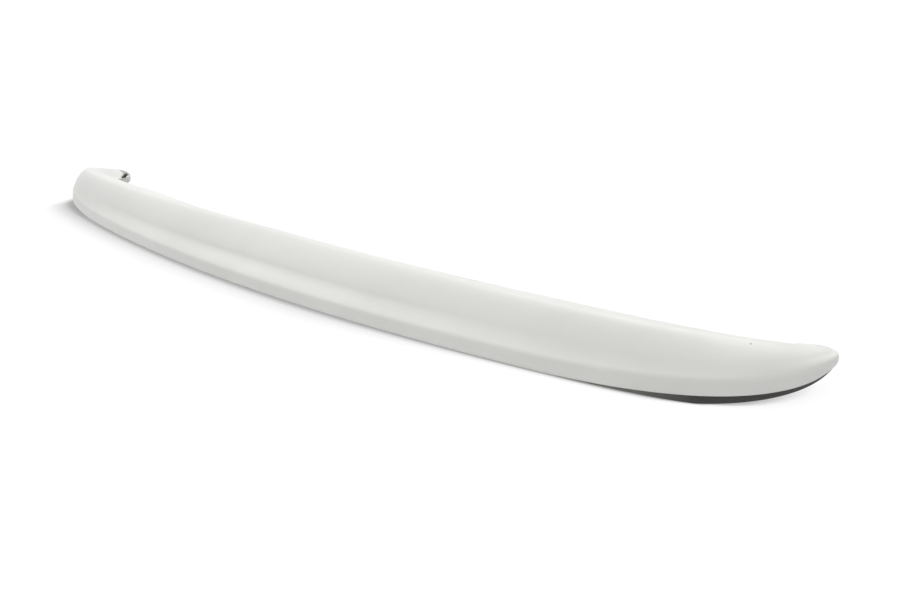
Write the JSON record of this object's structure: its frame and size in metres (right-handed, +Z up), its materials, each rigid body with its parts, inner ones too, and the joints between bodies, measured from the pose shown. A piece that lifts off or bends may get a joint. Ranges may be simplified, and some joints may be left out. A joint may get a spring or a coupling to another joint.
{
  "type": "boot lip spoiler",
  "caption": "Rear lip spoiler shell for a boot lid: a bowed, hollow moulding, open underneath, with a rounded crest and tips that wrap round the lid's corners.",
  "frame": {"origin": "middle of the shell's box, on the ground plane under it", "axes": "+X along the span to the right-hand tip, +Y to the front of the car, +Z up from the boot lid"},
  "size_m": [1.2266, 0.1846, 0.054],
  "materials": {
    "shell": "white gelcoat, satin, with a raw dark inside"
  },
  "bodies": {
    "root": {"spoiler_shell": "shell"}
  },
  "joints": []
}
